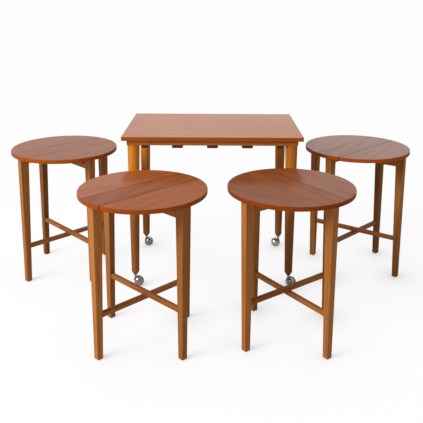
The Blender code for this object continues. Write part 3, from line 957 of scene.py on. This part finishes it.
@dataclass
class Hinge:
    """A butt hinge let in under a seam."""

    name: str
    place: Vector
    along: Vector
    outwards: Vector
    fixed_body: str
    moving_body: str
    length: float = 0.030
    plate: float = 0.013
    thickness: float = 0.0009
    plate_ease: float = 0.0003
    plate_gap_share: float = 0.4
    bedded: float = 0.0002
    barrel: float = 0.0021
    knuckles: int = 5
    knuckle_ease_share: float = 0.15
    knuckle_facets: int = 16
    play: float = 0.0001
    screw: ScrewHead = ScrewHead(0.0019)
    screw_pitch_share: float = 0.34
    screw_stagger_share: float = 0.2

    def build(self, metal: bpy.types.Material) -> None:
        """Makes its two halves, each on the body that carries it.

        Args:
            metal: The material of the plates, barrel and screws.
        """
        turn = Matrix((self.along, self.outwards, UP)).transposed().to_4x4()
        base = Matrix.Translation(self.place) @ turn
        halves = (("fixed", -1, self.fixed_body), ("moving", 1, self.moving_body))
        for half, side, body in halves:
            shape = bmesh.new()
            self.add_plate(shape, side)
            self.add_knuckles(shape, side)
            bmesh.ops.transform(shape, matrix=base, verts=shape.verts)
            fit_metal(f"{self.name}_{half}", shape, metal, body)

    def add_plate(self, shape: bmesh.types.BMesh, side: int) -> None:
        """Adds one plate with its three screws.

        Args:
            shape: The mesh that it is added to.
            side: -1 for the fixed half, 1 for the moving one.
        """
        middle = side * (self.plate / 2 + self.barrel * self.plate_gap_share)
        size = (self.length, self.plate, self.thickness)
        centre = (0, middle, self.bedded - self.thickness / 2)
        add_block(shape, size, centre, self.plate_ease)
        for k in (-1, 0, 1):
            stagger = side * (abs(k) - 0.5) * self.plate * self.screw_stagger_share
            lengthwise = k * self.length * self.screw_pitch_share
            spot = (lengthwise, middle + stagger, self.bedded - self.thickness)
            place = Matrix.Translation(spot) @ Matrix.Rotation(math.pi, 4, "X")
            self.screw.add_to(shape, place)

    def add_knuckles(self, shape: bmesh.types.BMesh, side: int) -> None:
        """Adds every second knuckle of the barrel.

        Args:
            shape: The mesh that they are added to.
            side: -1 for the fixed half, 1 for the moving one.
        """
        drop = -self.barrel - self.thickness / 2
        step = self.length / self.knuckles
        ease = self.barrel * self.knuckle_ease_share
        profile = [
            (0, self.play),
            (self.barrel - ease, self.play),
            (self.barrel, ease),
            (self.barrel, step - ease),
            (self.barrel - ease, step - self.play),
            (0, step - self.play),
        ]
        for k in range(0 if side < 0 else 1, self.knuckles, 2):
            left = -self.length / 2 + k * step
            lay = Matrix.Translation((left, 0, drop)) @ Matrix.Rotation(math.pi / 2, 4, "Y")
            add_turned(shape, profile, lay, self.knuckle_facets)


@dataclass
class RoundTable:
    """One folding round table."""

    corner: str
    seed: int
    boards: Mapping[str, Board]
    nodes: list[str] = field(default_factory=list)
    seeds_per_table: int = 13
    hinge_place: float = 0.110

    def hinges(self) -> dict[str, dict]:
        """Finds its leaf hinges in the record.

        Returns:
            The joints, by the side of the leaf.
        """
        joints = {joint["name"]: joint for joint in frame["joints"]}
        return {side: joints[f"{self.corner}_{side}_leaf_hinge"] for side in ("left", "right")}

    def seams(self) -> dict[str, Seam]:
        """Finds the lines between its leaves and its board.

        Returns:
            The seams, by the side of the leaf.
        """
        found = {}
        for side, joint in self.hinges().items():
            along = Vector(joint["axis"])
            outwards = Vector((-along.y, along.x, 0))
            found[side] = Seam(Vector(joint["pos_m"]), outwards, SEAM_GRIME_AND_SHADE[self.corner][side])
        return found

    def dress(self) -> None:
        """Gives every board, leg, rail and stretcher its teak."""
        prefix = f"{self.corner}_"
        bodies = frame["record"]["behaviour"]["bodies"]
        for body, names in bodies.items():
            if body.startswith(f"{prefix}stool"):
                self.nodes.extend(names)
        seams = self.seams()
        for index, name in enumerate(sorted(self.nodes)):
            near = tuple(
                seam
                for side, seam in seams.items()
                if name.endswith(("board", f"{side}_leaf"))
            )
            finish = ROUND_TOP if near else STICK
            # A leg's tone from the table's boards is painted light and shade.
            board = replace(self.boards.get(name.removeprefix(prefix), Board()), seams=near)
            seed = self.seed * self.seeds_per_table + index
            dress(name, finish.made_for(frame["nodes"][name], seed, board))

    def build(self, metal: bpy.types.Material) -> None:
        """Adds the seam hinges.

        Args:
            metal: Their material.
        """
        for joint in self.hinges().values():
            along = Vector(joint["axis"])
            for end in (-1, 1):
                Hinge(
                    name=f"{joint['name']}_{'near' if end < 0 else 'far'}",
                    place=Vector(joint["pos_m"]) + along * (end * self.hinge_place),
                    along=along,
                    outwards=Vector((-along.y, along.x, 0)),
                    fixed_body=joint["parent"],
                    moving_body=joint["child"],
                ).build(metal)


@dataclass
class StowingTable:
    """The rectangular table with its runners."""

    seed: int = 5
    seed_step: int = 3
    nodes: list[str] = field(default_factory=list)
    screw: ScrewHead = ScrewHead(0.0036)
    screw_shares: tuple[float, ...] = (0.14, 0.5, 0.86)
    screw_lift: float = 0.0001

    def dress(self) -> None:
        """Gives the top, rails, runners and legs their teak."""
        finishes = {"top": TABLE_TOP, "leg": TURNED, "front_rail": RAIL, "back_rail": RAIL}
        self.nodes.extend(frame["record"]["behaviour"]["bodies"]["table"])
        for index, name in enumerate(self.nodes):
            finish = UNDERFRAME
            for ending, named in finishes.items():
                if name.endswith(ending):
                    finish = named
            corner = name.removeprefix("table_").removesuffix("_leg")
            # The legs' tones are painted light and shade.
            board = Board(tone=TABLE_LEG_PAINTED_LIGHT.get(corner, 1.0))
            seed = self.seed + index * self.seed_step
            dress(name, finish.made_for(frame["nodes"][name], seed, board))

    def build(self, metal: bpy.types.Material) -> None:
        """Adds the screws that hold the runners up.

        Args:
            metal: Their material.
        """
        for name in ("left_runner", "middle_runner", "right_runner"):
            low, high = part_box(name)
            shape = bmesh.new()
            for share in self.screw_shares:
                across = (low.x + high.x) / 2
                spot = Vector((across, low.y + (high.y - low.y) * share, low.z - self.screw_lift))
                place = Matrix.Translation(spot) @ Matrix.Rotation(math.pi, 4, "X")
                self.screw.add_to(shape, place)
            fit_metal(f"{name}_screws", shape, metal, "table")


@dataclass
class Castor:
    """A chrome ball castor."""

    corner: str
    rivet: float = 0.0034
    rivet_dome: float = 0.0012
    rivet_sink: float = 0.0004
    dome_angles: tuple[float, ...] = (0.0, 0.5, 1.0)

    def dress(self, hood: bpy.types.Material, wheel: bpy.types.Material) -> None:
        """Gives hood and wheel their chrome.

        Args:
            hood: The hood's chrome, darkened as a painted dark reflection on the ball's top half.
            wheel: The wheel's worn chrome.
        """
        dress(f"{self.corner}_castor_hood", hood)
        dress(f"{self.corner}_castor_wheel", wheel)

    def build(self, metal: bpy.types.Material) -> None:
        """Adds the rivet head where the axle comes through the hood.

        Args:
            metal: Its material.
        """
        name = f"{self.corner}_castor_roll"
        joint = next(joint for joint in frame["joints"] if joint["name"] == name)
        turn = UP.rotation_difference(Vector(joint["axis"])).to_matrix().to_4x4()
        ball_radius = joint["pos_m"][2]
        shape = bmesh.new()
        dome = [
            (self.rivet * math.cos(a), self.rivet_dome * math.sin(a)) for a in self.dome_angles
        ]
        foot = [(0, -self.rivet_dome), (self.rivet, -self.rivet_dome)]
        profile = [*foot, *dome, (0, self.rivet_dome)]
        crown = Matrix.Translation((0, 0, ball_radius - self.rivet_sink))
        add_turned(shape, profile, Matrix.Translation(joint["pos_m"]) @ turn @ crown)
        fit_metal(f"{self.corner}_castor_rivet", shape, metal, f"{self.corner}_castor_swivel")


@dataclass(frozen=True)
class Softbox:
    """A square area light that looks at a point."""

    name: str
    place: Point
    target: Point
    size: float
    power: float

    def build(self) -> None:
        """Adds the light."""
        data = bpy.data.lights.new(self.name, "AREA")
        data.shape = "SQUARE"
        data.size = self.size
        data.energy = self.power
        lamp = bpy.data.objects.new(self.name, data)
        lamp.location = self.place
        aim = Vector(self.target) - Vector(self.place)
        lamp.rotation_euler = aim.to_track_quat("-Z", "Y").to_euler()
        bpy.context.scene.collection.objects.link(lamp)


@dataclass
class Studio:
    """Camera, floor, backdrop and lights."""

    eye: Vector = field(default_factory=lambda: Vector((0.0104, -2.3061, 1.1681)))
    pitch: float = 0.1606
    yaw: float = -0.0047
    roll: float = 0.0038
    focal_pixels: float = 628.9
    horizon_row: float = 95.0
    glow: float = 0.24
    floor_lift: float = 0.90
    floor_greys: tuple[Colour, Colour] = ((0.82, 0.82, 0.82), (0.85, 0.85, 0.85))
    floor_roughness: float = 0.80
    floor_roughness_spread: float = 0.1
    floor_patches_per_metre: float = 1.3
    # Where ambient occlusion finds the object within the contact reach, the white glow thins: the
    # floor's real shadows show there, and the floor turns darker there too, as painted contact
    # shade.
    contact_lift: float = 0.55
    contact_reach: float = 0.12
    contact_step: Step = (0.80, 1.0)
    contact_samples: int = 8
    floor_fade: Step = (1.0, 2.6)
    floor_reach: float = 30.0
    lights: tuple[Softbox, ...] = (
        Softbox("key_softbox", (-4.0, -2.9, 3.9), (0.0, 0.0, 0.3), 2.6, 345.0),
        Softbox("fill_softbox", (2.6, -2.8, 2.0), (0.0, 0.0, 0.3), 2.2, 7.0),
        Softbox("top_softbox", (0.0, 0.3, 4.6), (0.0, 0.1, 0.3), 3.4, 75.0),
        Softbox("rear_softbox", (1.8, 2.4, 3.6), (0.0, 0.0, 0.3), 2.0, 24.0),
    )

    def build(self) -> None:
        """Builds everything that isn't part of the object."""
        self.build_camera()
        self.build_floor()
        self.build_backdrop()
        for light in self.lights:
            light.build()
        bpy.context.scene.view_settings.view_transform = "Standard"

    def build_camera(self) -> None:
        """Sets the camera at the photograph's viewing angle."""
        data = bpy.data.cameras.new("camera")
        data.sensor_width = 36.0
        data.lens = self.focal_pixels / IMAGE_SIZE * data.sensor_width
        data.shift_y = (self.horizon_row - IMAGE_SIZE / 2) / IMAGE_SIZE
        camera = bpy.data.objects.new("camera", data)
        bpy.context.scene.collection.objects.link(camera)
        bpy.context.scene.camera = camera
        level = math.cos(self.pitch)
        ahead = Vector(
            (math.sin(self.yaw) * level, math.cos(self.yaw) * level, -math.sin(self.pitch))
        )
        right = Vector((math.cos(self.yaw), -math.sin(self.yaw), 0))
        above = right.cross(ahead)
        c, s = math.cos(self.roll), math.sin(self.roll)
        right, above = right * c + above * s, above * c - right * s
        turn = Matrix((right, above, -ahead)).transposed()
        camera.matrix_world = Matrix.Translation(self.eye) @ turn.to_4x4()

    def build_floor(self) -> None:
        """Lays a pale floor that the camera sees as white paper with soft shadows on it, and
        painted contact shade near the feet.
        """
        graph = Graph.of_material("studio_floor")
        patch = graph.noise(graph.place(), detail=3.0, scale=self.floor_patches_per_metre)
        seen = graph.ray_is("Camera")
        matt = graph.blend(patch, *self.floor_greys)
        roughness = self.floor_roughness + patch * self.floor_roughness_spread
        graph.shade(base_color=graph.blend(seen, matt, WHITE), roughness=roughness)
        far = graph.place().length().eased(*self.floor_fade)
        # Painted contact shade: near the feet, where ambient occlusion finds the object, less
        # white glow is mixed in, so the floor is darker there and its real shadows show.
        reach = {"Distance": self.contact_reach}
        settings = {"samples": self.contact_samples}
        free = graph.node("ShaderNodeAmbientOcclusion", settings, reach, "AO")
        gain = self.floor_lift - self.contact_lift
        near = self.contact_lift + free.eased(*self.contact_step) * gain
        lift = seen * (near + far * (1.0 - near))
        paper = graph.node("ShaderNodeEmission", {}, {"Color": (*PAPER, 1.0), "Strength": 1.0})
        lit = Field(graph, graph.tree.nodes["Principled BSDF"].outputs["BSDF"])
        mixed = graph.node("ShaderNodeMixShader", {}, {0: lift, 1: lit, 2: paper})
        graph.feed(graph.tree.nodes["Material Output"].inputs["Surface"], mixed)
        shape = bmesh.new()
        bmesh.ops.create_grid(shape, x_segments=8, y_segments=8, size=self.floor_reach)
        object_from("studio_floor", shape, graph.owner)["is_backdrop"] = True

    def build_backdrop(self) -> None:
        """Makes the world white to the camera and in gloss, and a soft glow to all else."""
        world = bpy.data.worlds.new("backdrop")
        bpy.context.scene.world = world
        graph = Graph(world)
        seen = graph.ray_is("Camera").most(graph.ray_is("Glossy"))
        seen = seen.most(graph.ray_is("Transmission"))
        backdrop = graph.tree.nodes["Background"]
        graph.feed(backdrop.inputs["Color"], (*PAPER, 1.0))
        graph.feed(backdrop.inputs["Strength"], self.glow + seen * (1.0 - self.glow))


def write_sizes() -> None:
    """Writes the CAD box and the visual model's box."""
    boxes = {"cad": CAD_BOX, "visual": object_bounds()}
    for name, (low, high) in boxes.items():
        corners = [[round(v, 4) for v in corner] for corner in (low, high)]
        LOG.info("%s box: %s to %s", name, *corners)


def main() -> None:
    """Builds the studio, dresses the object and ends the script."""
    logging.basicConfig(level=logging.INFO, format="%(name)s: %(message)s")
    Studio().build()
    hood, wheel, nickel = PAINTED_DARK_HOOD_CHROME.made(), WHEEL_CHROME.made(), NICKEL.made()
    table = StowingTable()
    table.dress()
    table.build(nickel)
    LOG.info("table: %d pieces dressed", len(table.nodes))
    for seed, (corner, boards) in enumerate(ROUND_TABLES.items(), 1):
        stool = RoundTable(corner, seed, boards)
        stool.dress()
        stool.build(nickel)
        LOG.info("%s round table: %d pieces dressed", corner, len(stool.nodes))
        castor = Castor(corner)
        castor.dress(hood, wheel)
        castor.build(hood)
        LOG.info("%s castor: hood, wheel and rivet head", corner)
    write_sizes()


if __name__ == "__main__":
    main()
